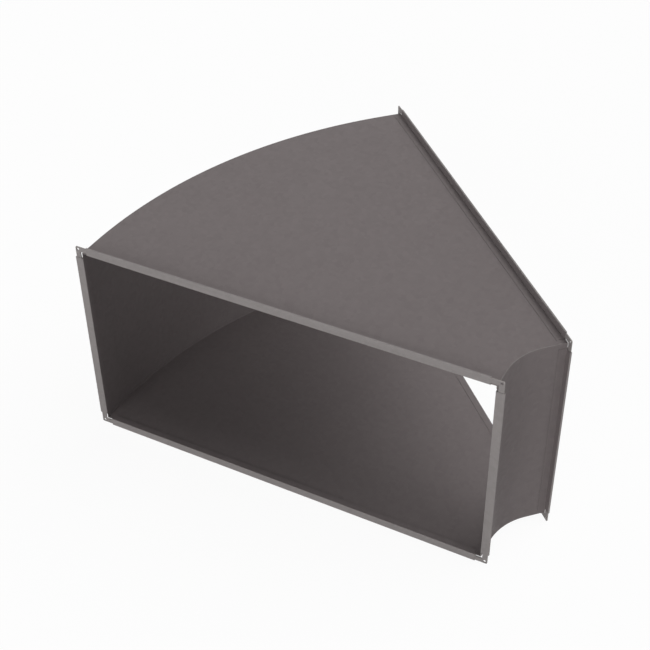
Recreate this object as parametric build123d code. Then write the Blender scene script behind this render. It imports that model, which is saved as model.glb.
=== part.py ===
from build123d import *
import os

# Rectangular sheet-steel duct bend that lies flat: the air comes in at the -Y end and leaves at the
# bend angle, turned towards +X. Two flat cheeks close the top and bottom, a heel panel goes round the
# outside of the bend and a throat panel round the inside. Each end carries a slip-on frame: four
# roll-formed profiles that grip the panel edges, and four corner plates pushed into their hollow ends.
# The origin is the centre of the inlet frame's face. All lengths are in millimetres.

# Duct, clear sizes on the air side
duct_width = 1000.0
duct_height = 500.0
throat_radius = 150.0
bend_angle = 45.0
collar = 50.0  # straight run of the panels at each end
panel_sheet = 0.8

# Turned edges of the cheeks, lapped inside the heel and throat panels
lap = 8.0
lap_clearance = 0.1
cheek_fold_radius = 1.2  # outside of the fold

# Frame profile: inner leg, face, outer edge, rear web and outer leg of one folded strip
profile_sheet = 0.9
profile_height = 20.0  # from the air side of the inner leg to the outer edge
inner_leg = 17.0  # behind the face, on the air side of the panel
outer_leg = 22.0  # behind the face, on the outside of the panel
profile_fold_radius = 1.3  # outside of each fold
slot_clearance = 0.05  # each side of the panel in the slot between the legs
edge_clearance = 1.1  # panel edge behind the face's sheet
stop_clearance = 5.0  # profile end clear of the cheek's turned edge

# Corner plates
plate_thickness = 2.4
plate_clearance = 0.1  # each side of the plate in the hollow profile
plate_edge_clearance = 1.85  # plate below the inside of the profile's outer edge
corner_slit = 2.9  # open gap between the plate and the duct's corner
plate_reach = 75.0  # arm length from the plate's outer corner
plate_corner_radius = 3.0
plate_crook_radius = 2.0
plate_tip_taper = 3.0
bolt_hole = 6.6  # clearance for an M6 bolt

# Heights across the frame, outwards from the outside of the panel
inner_leg_depth = panel_sheet + slot_clearance + profile_sheet
frame_edge = profile_height - inner_leg_depth
plate_edge = frame_edge - profile_sheet - plate_edge_clearance
plate_arm = plate_edge - corner_slit
bolt_row = corner_slit + plate_arm / 2

# Distances behind the frame's face
hollow = plate_thickness + 2 * plate_clearance
plate_back = profile_sheet + plate_clearance + plate_thickness
panel_setback = profile_sheet + edge_clearance

# Outside of the panels, and the places where the profiles stop and the bend starts
half_width = duct_width / 2 + panel_sheet
half_height = duct_height / 2 + panel_sheet
profile_stop = lap + stop_clearance  # short of the duct's clear corner
bend_start = panel_setback + collar
bend_centre = Vector(duct_width / 2 + throat_radius, bend_start, 0)
bend_axis = Axis(bend_centre, (0, 0, -1))
round_bend = Pos(bend_centre) * Rot(0, 0, -bend_angle) * Pos(-bend_centre)

# Faces of the two frames: local Z points out of the duct and local Y up
inlet_face = Plane(origin=(0, 0, 0), x_dir=(1, 0, 0), z_dir=(0, -1, 0))
straight_outlet = Plane(origin=(0, 2 * bend_start, 0), x_dir=(-1, 0, 0), z_dir=(0, 1, 0))
outlet_face = Plane(round_bend * straight_outlet.location)


def along_bend(section):
    # Collar, bend and collar of one section drawn across the duct, with Y up
    start = Plane(origin=(0, bend_start, 0), x_dir=(1, 0, 0), z_dir=(0, -1, 0)) * section
    inlet_collar = extrude(start, amount=collar)
    bend = revolve(start, axis=bend_axis, revolution_arc=bend_angle)
    outlet_collar = round_bend * extrude(start, amount=-collar)
    return inlet_collar + bend + outlet_collar


def cheek(up):
    # Flat cheek with both curved edges turned through a right angle into the duct
    wall_x = duct_width / 2 - lap_clearance - panel_sheet / 2
    flat_y = up * (half_height - panel_sheet / 2)
    tip_y = up * (half_height - lap)
    centre_line = FilletPolyline(
        (-wall_x, tip_y),
        (-wall_x, flat_y),
        (wall_x, flat_y),
        (wall_x, tip_y),
        radius=cheek_fold_radius - panel_sheet / 2,
    )
    return along_bend(trace(centre_line, panel_sheet))


def wrapper(right):
    # Heel or throat panel: a plain strip whose edges finish flush with the cheeks
    wall_x = right * (half_width - panel_sheet / 2)
    return along_bend(Pos(wall_x, 0) * Rectangle(panel_sheet, 2 * half_height))


def profile_section():
    # Drawn with X outwards from the outside of the panel and Y backwards from the frame's face
    half_sheet = profile_sheet / 2
    inner_x = half_sheet - inner_leg_depth
    outer_x = slot_clearance + half_sheet
    edge_x = frame_edge - half_sheet
    face_y = half_sheet
    web_y = face_y + profile_sheet + hollow
    centre_line = FilletPolyline(
        (inner_x, inner_leg),
        (inner_x, face_y),
        (edge_x, face_y),
        (edge_x, web_y),
        (outer_x, web_y),
        (outer_x, outer_leg),
        radius=profile_fold_radius - half_sheet,
    )
    return trace(centre_line, profile_sheet)


def profile(face, out, panel_offset, clear_length):
    # Straight length on one side of a frame; out is the unit direction away from the duct
    across = Plane(face.origin + out * panel_offset, x_dir=out, z_dir=out.cross(-face.z_dir))
    half_length = clear_length / 2 - profile_stop
    return extrude(across * profile_section(), amount=half_length, both=True)


def corner_plate():
    # L-shaped plate drawn round its bolt hole, with its arms towards -X and -Y
    half = plate_arm / 2
    tip = half - plate_reach
    corners = [(half, half), (tip, half), (tip, -half), (-half, -half), (-half, tip), (half, tip)]
    outline = make_face(Polyline(*corners, close=True))
    outline = fillet(outline.vertices().sort_by_distance((half, half))[0], plate_corner_radius)
    outline = fillet(outline.vertices().sort_by_distance((-half, -half))[0], plate_crook_radius)
    tips = outline.vertices().filter_by(lambda v: min(v.X, v.Y) < tip + plate_tip_taper)
    outline = chamfer(tips, plate_tip_taper)
    return extrude(outline - Circle(bolt_hole / 2), amount=plate_thickness)


def in_corner(plate, face, right, up, quarter_turns):
    # Turned so that its arms run away from the corner it fills, in the hollow behind the face
    x = right * (half_width + bolt_row)
    y = up * (half_height + bolt_row)
    return face.location * Pos(x, y, -plate_back) * Rot(0, 0, 90 * quarter_turns) * plate


pieces = {
    "cheek_top": cheek(1),
    "cheek_bottom": cheek(-1),
    "heel_panel": wrapper(-1),
    "throat_panel": wrapper(1),
}

# Seen from outside each end, the heel is on the inlet's left and on the outlet's right
plate = corner_plate()
for end, face, heel in (("inlet", inlet_face, -1), ("outlet", outlet_face, 1)):
    wall = {heel: "heel", -heel: "throat"}
    level = {1: "top", -1: "bottom"}
    for side in (1, -1):
        out = face.y_dir * side
        pieces[f"{end}_profile_{level[side]}"] = profile(face, out, half_height, duct_width)
        out = face.x_dir * side
        pieces[f"{end}_profile_{wall[side]}"] = profile(face, out, half_width, duct_height)
    for turns, (right, up) in enumerate([(1, 1), (-1, 1), (-1, -1), (1, -1)]):
        name = f"{end}_corner_{level[up]}_{wall[right]}"
        pieces[name] = in_corner(plate, face, right, up, turns)

os.makedirs("parts", exist_ok=True)
for name, piece in pieces.items():
    export_step(piece, f"parts/{name}.step")
    print(f"{name}: {piece.volume:.0f} mm3, valid {piece.is_valid}")
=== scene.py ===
import bmesh
import bpy
import math
from mathutils import Euler, Matrix, Vector


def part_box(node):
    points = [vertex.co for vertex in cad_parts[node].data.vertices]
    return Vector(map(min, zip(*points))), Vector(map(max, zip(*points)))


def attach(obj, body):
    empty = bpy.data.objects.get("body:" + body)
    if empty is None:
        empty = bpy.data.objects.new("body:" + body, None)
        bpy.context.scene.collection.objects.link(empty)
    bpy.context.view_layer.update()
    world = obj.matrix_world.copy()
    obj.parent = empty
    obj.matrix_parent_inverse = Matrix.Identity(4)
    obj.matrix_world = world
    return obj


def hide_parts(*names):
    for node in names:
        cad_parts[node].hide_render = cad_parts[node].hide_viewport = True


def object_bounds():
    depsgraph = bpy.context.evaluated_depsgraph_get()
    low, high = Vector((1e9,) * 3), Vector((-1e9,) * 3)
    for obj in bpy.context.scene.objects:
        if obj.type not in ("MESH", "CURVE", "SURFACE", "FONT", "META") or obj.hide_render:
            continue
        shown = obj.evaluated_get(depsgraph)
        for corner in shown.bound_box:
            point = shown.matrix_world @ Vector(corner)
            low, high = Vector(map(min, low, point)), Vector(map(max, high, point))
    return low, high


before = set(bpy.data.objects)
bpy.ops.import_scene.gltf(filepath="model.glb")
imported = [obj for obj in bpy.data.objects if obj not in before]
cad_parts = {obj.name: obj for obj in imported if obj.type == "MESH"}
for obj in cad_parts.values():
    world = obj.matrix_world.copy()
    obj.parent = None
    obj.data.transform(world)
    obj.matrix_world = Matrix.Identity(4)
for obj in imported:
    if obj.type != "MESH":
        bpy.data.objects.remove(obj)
cadLow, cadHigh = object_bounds()
print("frame loaded with", len(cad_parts), "solids")

# The whole bend, in metres as the CAD has it
duct = {
    "width": 1.0,  # clear sizes on the air side
    "height": 0.5,
    "throatRadius": 0.15,
    "turn": math.radians(45),
    "collar": 0.05,
    "sheet": 0.0008,
    "setback": 0.002,  # panel edge behind the frame's face
}
halfWidth = duct["width"] / 2 + duct["sheet"]
halfHeight = duct["height"] / 2 + duct["sheet"]
bendStart = duct["setback"] + duct["collar"]
bendCentre = Vector((duct["width"] / 2 + duct["throatRadius"], bendStart, 0))
outletDirection = Vector((math.sin(duct["turn"]), math.cos(duct["turn"]), 0))


def turnAbout(centre, angle):
    return Matrix.Translation(centre) @ Matrix.Rotation(angle, 4, "Z") @ Matrix.Translation(-centre)


# Lays an inlet piece in the outlet frame, where heel and throat change places
toOutlet = turnAbout(bendCentre, -duct["turn"]) @ turnAbout(Vector((0, bendStart, 0)), math.pi)
sideAtOutlet = {"top": "top", "bottom": "bottom", "heel": "throat", "throat": "heel"}


# Materials

def linear(hexText):
    channels = [int(hexText[i:i + 2], 16) / 255 for i in (1, 3, 5)]
    return tuple(c / 12.92 if c <= 0.04045 else ((c + 0.055) / 1.055) ** 2.4 for c in channels) + (1.0,)


def addNode(tree, kind, inputs=None, **settings):
    node = tree.nodes.new(kind)
    for name, value in settings.items():
        setattr(node, name, value)
    for socket, value in (inputs or {}).items():
        if isinstance(value, bpy.types.NodeSocket):
            tree.links.new(value, node.inputs[socket])
        else:
            node.inputs[socket].default_value = value
    return node


def combine(tree, operation, first, second):
    return addNode(tree, "ShaderNodeMath", {0: first, 1: second}, operation=operation).outputs["Value"]


def spread(tree, pattern, middle, reach, low=0.0, high=1.0):
    # Takes a pattern that runs from low to high and lays it evenly round a middle value
    return addNode(tree, "ShaderNodeMapRange", {
        "Value": pattern, "From Min": low, "From Max": high,
        "To Min": middle - reach, "To Max": middle + reach}).outputs["Result"]


def emptyMaterial(name):
    material = bpy.data.materials.new(name)
    material.use_nodes = True
    material.node_tree.nodes.clear()
    return material


# Hot-dip galvanised steel, dulled by handling: a warm matt grey, with zinc crystals that show only as a faint
# change of shade and gloss, long rolling streaks, and slow clouds where the zinc has weathered. Rolling
# leaves much finer lines; they are drawn this coarse so that they show
galvanised = {
    "dull": "#787171",
    # paler zinc: the corner plates' colour, and painted light on the frame strip's face and outer edge
    "pale": "#8d8887",
    "spangle": 0.011,  # width of a zinc crystal
    "spangleShade": 0.03,
    "spangleGloss": 0.07,
    "streakWidth": 0.003,
    "streakLength": 0.5,
    "streakDetail": 3.0,
    "sheetStreakShade": 0.012,
    "stripStreakShade": 0.035,
    "plateStreakShade": 0.02,
    "cloud": 0.22,
    "cloudShade": 0.014,
    "cloudDetail": 4.0,
    "noiseRange": (0.3, 0.7),  # where most of a noise pattern lies
    "relief": 0.00002,  # height between crystals
    "reliefStrength": 0.3,
    "metallic": 0.15,
    "roughness": 0.62,
    "specular": 0.1,
}

# Turns that lay the streaks, which run along Y, in the rolling direction
rolledAlong = {
    "duct": (0, 0, 0),
    "width": (0, 0, math.pi / 2),
    "height": (math.pi / 2, 0, 0),
    "outletWidth": (0, 0, math.pi / 2 - duct["turn"]),
}


def makeGalvanised(name, colour, rolling, streakShade):
    look = galvanised
    material = emptyMaterial(name)
    tree = material.node_tree
    coords = addNode(tree, "ShaderNodeTexCoord").outputs["Object"]
    crystals = addNode(tree, "ShaderNodeTexVoronoi", {"Vector": coords, "Scale": 1 / look["spangle"]})
    crystal = addNode(tree, "ShaderNodeSeparateColor", {"Color": crystals.outputs["Color"]}).outputs
    stretched = addNode(tree, "ShaderNodeMapping", {
        "Vector": coords, "Rotation": rolledAlong[rolling],
        "Scale": (look["streakWidth"], look["streakLength"], look["streakWidth"])}, vector_type="TEXTURE")
    streaks = addNode(tree, "ShaderNodeTexNoise", {
        "Vector": stretched.outputs["Vector"], "Scale": 1.0, "Detail": look["streakDetail"]})
    clouds = addNode(tree, "ShaderNodeTexNoise", {
        "Vector": coords, "Scale": 1 / look["cloud"], "Detail": look["cloudDetail"]})
    crystalShade = spread(tree, crystal["Red"], 1, look["spangleShade"])
    rolledShade = spread(tree, streaks.outputs["Fac"], 1, streakShade, *look["noiseRange"])
    cloudShade = spread(tree, clouds.outputs["Fac"], 1, look["cloudShade"], *look["noiseRange"])
    shade = combine(tree, "MULTIPLY", crystalShade, rolledShade)
    shade = combine(tree, "MULTIPLY", shade, cloudShade)
    tint = addNode(tree, "ShaderNodeMix", {
        "Factor": 1.0, "A": linear(colour), "B": shade}, data_type="RGBA", blend_type="MULTIPLY")
    relief = addNode(tree, "ShaderNodeBump", {
        "Height": crystal["Blue"], "Strength": look["reliefStrength"], "Distance": look["relief"]})
    shader = addNode(tree, "ShaderNodeBsdfPrincipled", {
        "Base Color": tint.outputs["Result"], "Metallic": look["metallic"],
        "Roughness": spread(tree, crystal["Green"], look["roughness"], look["spangleGloss"]),
        "Normal": relief.outputs["Normal"], "Specular IOR Level": look["specular"]})
    addNode(tree, "ShaderNodeOutputMaterial", {"Surface": shader.outputs["BSDF"]})
    return material


# Sheared edge of the same sheet: bare steel with fine marks, a little brighter than the zinc
shearedEdge = {
    "light": "#8f8a87",
    "dark": "#6f6b69",
    "mark": 0.0012,
    "markDetail": 2.0,
    "metallic": 0.6,
    "roughness": 0.45,
}


def makeShearedEdge(name):
    look = shearedEdge
    material = emptyMaterial(name)
    tree = material.node_tree
    coords = addNode(tree, "ShaderNodeTexCoord").outputs["Object"]
    marks = addNode(tree, "ShaderNodeTexNoise", {
        "Vector": coords, "Scale": 1 / look["mark"], "Detail": look["markDetail"]})
    tint = addNode(tree, "ShaderNodeMix", {
        "Factor": marks.outputs["Fac"],
        "A": linear(look["dark"]), "B": linear(look["light"])}, data_type="RGBA")
    shader = addNode(tree, "ShaderNodeBsdfPrincipled", {
        "Base Color": tint.outputs["Result"], "Metallic": look["metallic"], "Roughness": look["roughness"]})
    addNode(tree, "ShaderNodeOutputMaterial", {"Surface": shader.outputs["BSDF"]})
    return material


edgeSteel = makeShearedEdge("shearedSteelEdge")
dull, pale = galvanised["dull"], galvanised["pale"]
cheekZinc = makeGalvanised("galvanisedCheekSheet", dull, "duct", galvanised["sheetStreakShade"])
wallZinc = makeGalvanised("galvanisedWallSheet", dull, "height", galvanised["sheetStreakShade"])
plateZinc = makeGalvanised("galvanisedPlate", pale, "width", galvanised["plateStreakShade"])

# The frame strip has the sheet's dull zinc; its face and outer edge take a paler copy of it, painted light
# for the brighter light they catch
stripZinc = {}
for lie, rolling in (("Level", "width"), ("Outlet", "outletWidth"), ("Upright", "height")):
    stripZinc[lie] = (
        makeGalvanised("galvanisedStrip" + lie, dull, rolling, galvanised["stripStreakShade"]),
        makeGalvanised("galvanisedPaintedLitStrip" + lie, pale, rolling, galvanised["stripStreakShade"]),
    )
print("materials made")


# Drawing with vertices, as a folded section is sketched by hand

def startLine(name, point):
    bpy.ops.object.select_all(action="DESELECT")
    bpy.ops.mesh.primitive_plane_add()  # merged into the line's first vertex
    bpy.context.object.name = name
    bpy.ops.object.mode_set(mode="EDIT")
    bpy.ops.mesh.select_all(action="SELECT")
    bpy.ops.mesh.merge(type="CENTER")
    bpy.ops.transform.translate(value=point)
    return bpy.context.object


def drawLine(name, points):
    points = [Vector(point) for point in points]
    piece = startLine(name, points[0])
    for here, there in zip(points, points[1:]):
        bpy.ops.mesh.extrude_region_move(TRANSFORM_OT_translate={"value": there - here})
    return piece


def pickVerts(piece, wanted):
    bpy.ops.mesh.select_all(action="DESELECT")
    mesh = bmesh.from_edit_mesh(piece.data)
    for vert in mesh.verts:
        vert.select = wanted(vert)
    mesh.select_flush(True)
    bmesh.update_edit_mesh(piece.data)


def roundCorners(piece, wanted, radius, segments):
    pickVerts(piece, wanted)
    bpy.ops.mesh.bevel(affect="VERTICES", offset=radius, segments=segments, profile=0.5)


def makeActive(piece):
    bpy.ops.object.select_all(action="DESELECT")
    piece.select_set(True)
    bpy.context.view_layer.objects.active = piece


def applyModifier(piece, kind, **settings):
    makeActive(piece)
    modifier = piece.modifiers.new(kind.lower(), kind)
    for name, value in settings.items():
        setattr(modifier, name, value)
    bpy.ops.object.modifier_apply(modifier=modifier.name)


# How cut edges are broken and folds are shaded
finish = {
    "deburrSegments": 2,
    "deburrAngle": math.radians(50),  # a sharper corner than this is deburred
    "smoothAngle": math.radians(40),
}


def deburrEdges(piece, width):
    applyModifier(piece, "BEVEL", width=width, segments=finish["deburrSegments"], limit_method="ANGLE",
                  angle_limit=finish["deburrAngle"])


def smoothFolds(piece):
    makeActive(piece)
    bpy.ops.object.shade_smooth_by_angle(angle=finish["smoothAngle"])
    applyModifier(piece, "WEIGHTED_NORMAL", keep_sharp=True)  # big flats stay flat beside the small folds


def thickenSheet(piece, material, thickness, deburr):
    bpy.ops.mesh.select_all(action="SELECT")
    bpy.ops.mesh.normals_make_consistent(inside=False)
    bpy.ops.object.mode_set(mode="OBJECT")
    piece.data.materials.append(material)
    piece.data.materials.append(edgeSteel)
    applyModifier(piece, "SOLIDIFY", thickness=thickness, offset=0.0, use_even_offset=True,
                  material_offset_rim=1)
    deburrEdges(piece, deburr)
    smoothFolds(piece)


def copyPiece(piece, name, place):
    copy = bpy.data.objects.new(name, piece.data.copy())
    bpy.context.scene.collection.objects.link(copy)
    copy.data.transform(place)
    return copy


# Panels of the duct: a section across the inlet, drawn along collar, bend and collar

panels = {
    "bendSteps": 40,
    "lap": 0.008,  # turned edge of a cheek
    "lapClearance": 0.0001,
    "foldRadius": 0.0012,  # outside of the fold
    "foldSegments": 4,
    "deburr": 0.0001,
}


def drawAlongBend(piece, material):
    bpy.ops.mesh.select_all(action="SELECT")
    bpy.ops.mesh.extrude_region_move(TRANSFORM_OT_translate={"value": (0, duct["collar"], 0)})
    bpy.ops.mesh.spin(steps=panels["bendSteps"], angle=duct["turn"], center=bendCentre, axis=(0, 0, 1))
    bpy.ops.mesh.extrude_region_move(TRANSFORM_OT_translate={"value": outletDirection * duct["collar"]})
    thickenSheet(piece, material, duct["sheet"], panels["deburr"])


def makeCheek(name, up):
    wallX = duct["width"] / 2 - panels["lapClearance"] - duct["sheet"] / 2
    flatZ = up * (halfHeight - duct["sheet"] / 2)
    tipZ = up * (halfHeight - panels["lap"])
    y = duct["setback"]
    piece = drawLine(name, [(-wallX, y, tipZ), (-wallX, y, flatZ), (wallX, y, flatZ), (wallX, y, tipZ)])
    foldLine = panels["foldRadius"] - duct["sheet"] / 2
    roundCorners(piece, lambda vert: abs(vert.co.z) > abs(tipZ) + foldLine, foldLine, panels["foldSegments"])
    drawAlongBend(piece, cheekZinc)
    return piece


def makeWrapper(name, right):
    wallX = right * (halfWidth - duct["sheet"] / 2)
    y = duct["setback"]
    piece = drawLine(name, [(wallX, y, -halfHeight), (wallX, y, halfHeight)])
    drawAlongBend(piece, wallZinc)
    return piece


sheetPieces = {
    "cheek_top": makeCheek("cheekTop", 1),
    "cheek_bottom": makeCheek("cheekBottom", -1),
    "heel_panel": makeWrapper("heelPanel", -1),
    "throat_panel": makeWrapper("throatPanel", 1),
}
print("panels drawn round the bend:", ", ".join(piece.name for piece in sheetPieces.values()))


# Frame profiles: one folded strip that grips the panel edge

profile = {
    "sheet": 0.0009,
    "height": 0.020,  # from the air side of the inner leg to the outer edge
    "innerLeg": 0.017,
    "outerLeg": 0.022,
    "foldRadius": 0.0013,  # outside of each fold
    "foldSegments": 4,
    "slotClearance": 0.00005,
    "hollow": 0.0026,  # room for the corner plate between face and web
    "stop": 0.013,  # end of the profile short of the clear corner
    "deburr": 0.0001,
    "paintedLitSlot": 2,  # material slot after the dull zinc and the sheared edge
    "paintedLitFacing": 0.5,  # how squarely a facet of a fold has to face outwards to take the painted light
}

# Outer edge, measured from the outside of the panel
frameEdge = profile["height"] - duct["sheet"] - profile["slotClearance"] - profile["sheet"]


# Painted light: facets turned to the front or outwards take the paler zinc, standing for the light they catch
def paintLitFaces(piece, out, panelOffset, material):
    piece.data.materials.append(material)
    fold = profile["foldRadius"]
    limit = profile["paintedLitFacing"]
    for facet in piece.data.polygons:
        onFace = facet.normal.y < -limit and facet.center.y < fold
        onEdge = facet.normal.dot(out) > limit and facet.center.dot(out) > panelOffset + frameEdge - fold
        if facet.material_index == 0 and (onFace or onEdge):
            facet.material_index = profile["paintedLitSlot"]


def makeProfile(name, out, panelOffset, clearLength, dullZinc, paintedLitZinc):
    half = profile["sheet"] / 2
    innerX = frameEdge - profile["height"] + half
    outerX = profile["slotClearance"] + half
    edgeX = frameEdge - half
    webY = half + profile["sheet"] + profile["hollow"]
    section = [(innerX, profile["innerLeg"]), (innerX, half), (edgeX, half), (edgeX, webY), (outerX, webY),
               (outerX, profile["outerLeg"])]
    along = out.cross(Vector((0, 1, 0)))
    halfLength = clearLength / 2 - profile["stop"]
    points = [out * (panelOffset + x) + Vector((0, y, 0)) - along * halfLength for x, y in section]
    piece = drawLine(name, points)
    foldLine = profile["foldRadius"] - half
    roundCorners(piece, lambda vert: len(vert.link_edges) == 2, foldLine, profile["foldSegments"])
    bpy.ops.mesh.select_all(action="SELECT")
    bpy.ops.mesh.extrude_region_move(TRANSFORM_OT_translate={"value": along * halfLength * 2})
    thickenSheet(piece, dullZinc, profile["sheet"], profile["deburr"])
    paintLitFaces(piece, out, panelOffset, paintedLitZinc)
    return piece


stripPieces = {}
for side, out, panelOffset, clearLength, inletLie, outletLie in (
    ("top", Vector((0, 0, 1)), halfHeight, duct["width"], "Level", "Outlet"),
    ("bottom", Vector((0, 0, -1)), halfHeight, duct["width"], "Level", "Outlet"),
    ("heel", Vector((-1, 0, 0)), halfWidth, duct["height"], "Upright", "Upright"),
    ("throat", Vector((1, 0, 0)), halfWidth, duct["height"], "Upright", "Upright"),
):
    name = "inletProfile" + side.title()
    piece = makeProfile(name, out, panelOffset, clearLength, *stripZinc[inletLie])
    stripPieces["inlet_profile_" + side] = piece
    farSide = sideAtOutlet[side]
    farPiece = copyPiece(piece, "outletProfile" + farSide.title(), toOutlet)
    farPiece.data.materials[0], farPiece.data.materials[profile["paintedLitSlot"]] = stripZinc[outletLie]
    stripPieces["outlet_profile_" + farSide] = farPiece
print("frame profiles folded:", len(stripPieces))


# Corner plates: an L pressed from plate, pushed into the hollow ends of two profiles

plate = {
    "thickness": 0.0024,
    "front": 0.001,  # behind the frame's face
    "arm": 0.0126,
    "reach": 0.075,
    "cornerRadius": 0.003,
    "cornerSegments": 6,
    "crookRadius": 0.002,
    "crookSegments": 5,
    "tipTaper": 0.003,
    "tipSegments": 1,  # cut off straight
    "tolerance": 0.00001,  # for finding the tips
    "hole": 0.0066,  # for an M6 bolt
    "holeSegments": 48,
    "drillLength": 0.02,
    "boltRow": 0.010,  # hole centre out from the clear duct
    "deburr": 0.0002,
}


def makeCornerPlate(name):
    half = plate["arm"] / 2
    tip = half - plate["reach"]
    y = plate["front"] + plate["thickness"] / 2
    outline = [(half, half), (tip, half), (tip, -half), (-half, -half), (-half, tip), (half, tip)]
    piece = drawLine(name, [(x, y, z) for x, z in outline])
    bpy.ops.mesh.select_all(action="SELECT")
    bpy.ops.mesh.edge_face_add()
    roundCorners(piece, lambda vert: min(vert.co.x, vert.co.z) > 0,
                 plate["cornerRadius"], plate["cornerSegments"])
    roundCorners(piece, lambda vert: vert.co.x == vert.co.z and vert.co.x < 0,
                 plate["crookRadius"], plate["crookSegments"])
    roundCorners(piece, lambda vert: min(vert.co.x, vert.co.z) < tip + plate["tolerance"],
                 plate["tipTaper"], plate["tipSegments"])
    bpy.ops.object.mode_set(mode="OBJECT")
    piece.data.materials.append(plateZinc)
    piece.data.materials.append(edgeSteel)
    applyModifier(piece, "SOLIDIFY", thickness=plate["thickness"], offset=0.0, material_offset_rim=1)
    bpy.ops.object.select_all(action="DESELECT")
    bpy.ops.mesh.primitive_cylinder_add(
        vertices=plate["holeSegments"], radius=plate["hole"] / 2, depth=plate["drillLength"],
        location=(0, y, 0), rotation=(math.pi / 2, 0, 0))
    drill = bpy.context.object
    applyModifier(piece, "BOOLEAN", operation="DIFFERENCE", solver="EXACT", object=drill)
    bpy.data.objects.remove(drill)
    deburrEdges(piece, plate["deburr"])
    smoothFolds(piece)
    return piece


boltX = duct["width"] / 2 + plate["boltRow"]
boltZ = duct["height"] / 2 + plate["boltRow"]
quarterTurns = (("throat", "top"), ("throat", "bottom"), ("heel", "bottom"), ("heel", "top"))
firstPlate = makeCornerPlate("cornerPlate")
platePieces = {}
for turns, (side, level) in enumerate(quarterTurns):
    x = boltX if side == "throat" else -boltX
    z = boltZ if level == "top" else -boltZ
    place = Matrix.Translation((x, 0, z)) @ Matrix.Rotation(turns * math.pi / 2, 4, "Y")
    piece = copyPiece(firstPlate, "inletCorner" + level.title() + side.title(), place)
    platePieces["inlet_corner_" + level + "_" + side] = piece
    farSide = sideAtOutlet[side]
    farPiece = copyPiece(piece, "outletCorner" + level.title() + farSide.title(), toOutlet)
    platePieces["outlet_corner_" + level + "_" + farSide] = farPiece
bpy.data.objects.remove(firstPlate)
print("corner plates placed:", len(platePieces))


# Every piece stands for its solid

slots = {"duct_sheet": sheetPieces, "frame_strip": stripPieces, "corner_plate": platePieces}
for slot, pieces in slots.items():
    for node, piece in pieces.items():
        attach(piece, "root")
        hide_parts(node)
        low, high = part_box(node)
        off = 0.0
        for axis in range(3):
            reach = [corner[axis] for corner in piece.bound_box]
            off = max(off, abs(min(reach) - low[axis]), abs(max(reach) - high[axis]))
        print(f"{piece.name}: {len(piece.data.polygons)} faces, box {off * 1000:.3f} mm from the solid's")


# Floor, light and camera

def seenByEye(tree):
    path = addNode(tree, "ShaderNodeLightPath").outputs
    seen = combine(tree, "MAXIMUM", path["Is Camera Ray"], path["Is Glossy Ray"])
    return combine(tree, "MAXIMUM", seen, path["Is Transmission Ray"])


# The eye sees a share of plain white over the lit floor; the light that the floor throws back is greyer
floorLook = {"size": 14, "seenColour": "#ffffff", "bounceColour": "#c4c4c4", "whiteShare": 0.94}
bpy.ops.object.select_all(action="DESELECT")
bpy.ops.mesh.primitive_plane_add(size=floorLook["size"], location=(0, 0, cadLow.z))
floor = bpy.context.object
floor.name = "floor"
whiteFloor = emptyMaterial("whiteFloor")
tree = whiteFloor.node_tree
seen = seenByEye(tree)
seenColour = linear(floorLook["seenColour"])
paint = addNode(tree, "ShaderNodeMix", {
    "Factor": seen, "A": linear(floorLook["bounceColour"]), "B": seenColour}, data_type="RGBA")
lit = addNode(tree, "ShaderNodeBsdfDiffuse", {"Color": paint.outputs["Result"]})
white = addNode(tree, "ShaderNodeEmission", {"Color": seenColour, "Strength": 1.0})
share = combine(tree, "MULTIPLY", seen, floorLook["whiteShare"])
mixed = addNode(tree, "ShaderNodeMixShader", {0: share, 1: lit.outputs["BSDF"], 2: white.outputs["Emission"]})
addNode(tree, "ShaderNodeOutputMaterial", {"Surface": mixed.outputs["Shader"]})
floor.data.materials.append(whiteFloor)

# White behind the part for the eye, and almost no light from there
studio = {"colour": "#ffffff", "fill": 0.01, "backdrop": 0.98}
world = bpy.data.worlds.new("studio")
bpy.context.scene.world = world
world.use_nodes = True
tree = world.node_tree
tree.nodes.clear()
studioColour = linear(studio["colour"])
fill = addNode(tree, "ShaderNodeBackground", {"Color": studioColour, "Strength": studio["fill"]})
backdrop = addNode(tree, "ShaderNodeBackground", {"Color": studioColour, "Strength": studio["backdrop"]})
mixed = addNode(tree, "ShaderNodeMixShader", {
    0: seenByEye(tree), 1: fill.outputs["Background"], 2: backdrop.outputs["Background"]})
addNode(tree, "ShaderNodeOutputWorld", {"Surface": mixed.outputs["Shader"]})


def lookingFrom(azimuth, elevation):
    return Euler((math.radians(90 - elevation), 0, math.radians(azimuth)))


# Large soft lamps; angles in degrees, azimuth from the inlet side round to the throat
lamps = {
    "topSoftbox": {"azimuth": 130, "elevation": 60, "strength": 1.85, "softness": 60},
    "frontSoftbox": {"azimuth": 4, "elevation": 5, "strength": 3.0, "softness": 60},
    "backSoftbox": {"azimuth": 212, "elevation": 5, "strength": 0.6, "softness": 60},
}
for name, lamp in lamps.items():
    bpy.ops.object.light_add(type="SUN", rotation=lookingFrom(lamp["azimuth"], lamp["elevation"]))
    light = bpy.context.object
    light.name = name
    light.data.energy = lamp["strength"]
    light.data.angle = math.radians(lamp["softness"])

# The photo's point of view
view = {
    "azimuth": 28.180,
    "elevation": 38.537,
    "roll": -0.842,
    "place": (1.09598, -1.82300, 1.91552),
    "lens": 70.861,
    "sensor": 36,
}
camera = bpy.data.objects.new("camera", bpy.data.cameras.new("camera"))
bpy.context.scene.collection.objects.link(camera)
camera.data.sensor_width = view["sensor"]
camera.data.lens = view["lens"]
camera.location = view["place"]
aimed = lookingFrom(view["azimuth"], view["elevation"]).to_matrix()
camera.rotation_euler = (aimed @ Matrix.Rotation(math.radians(view["roll"]), 3, "Z")).to_euler()
bpy.context.scene.camera = camera
bpy.context.scene.view_settings.view_transform = "Standard"
print("floor, light and camera set")
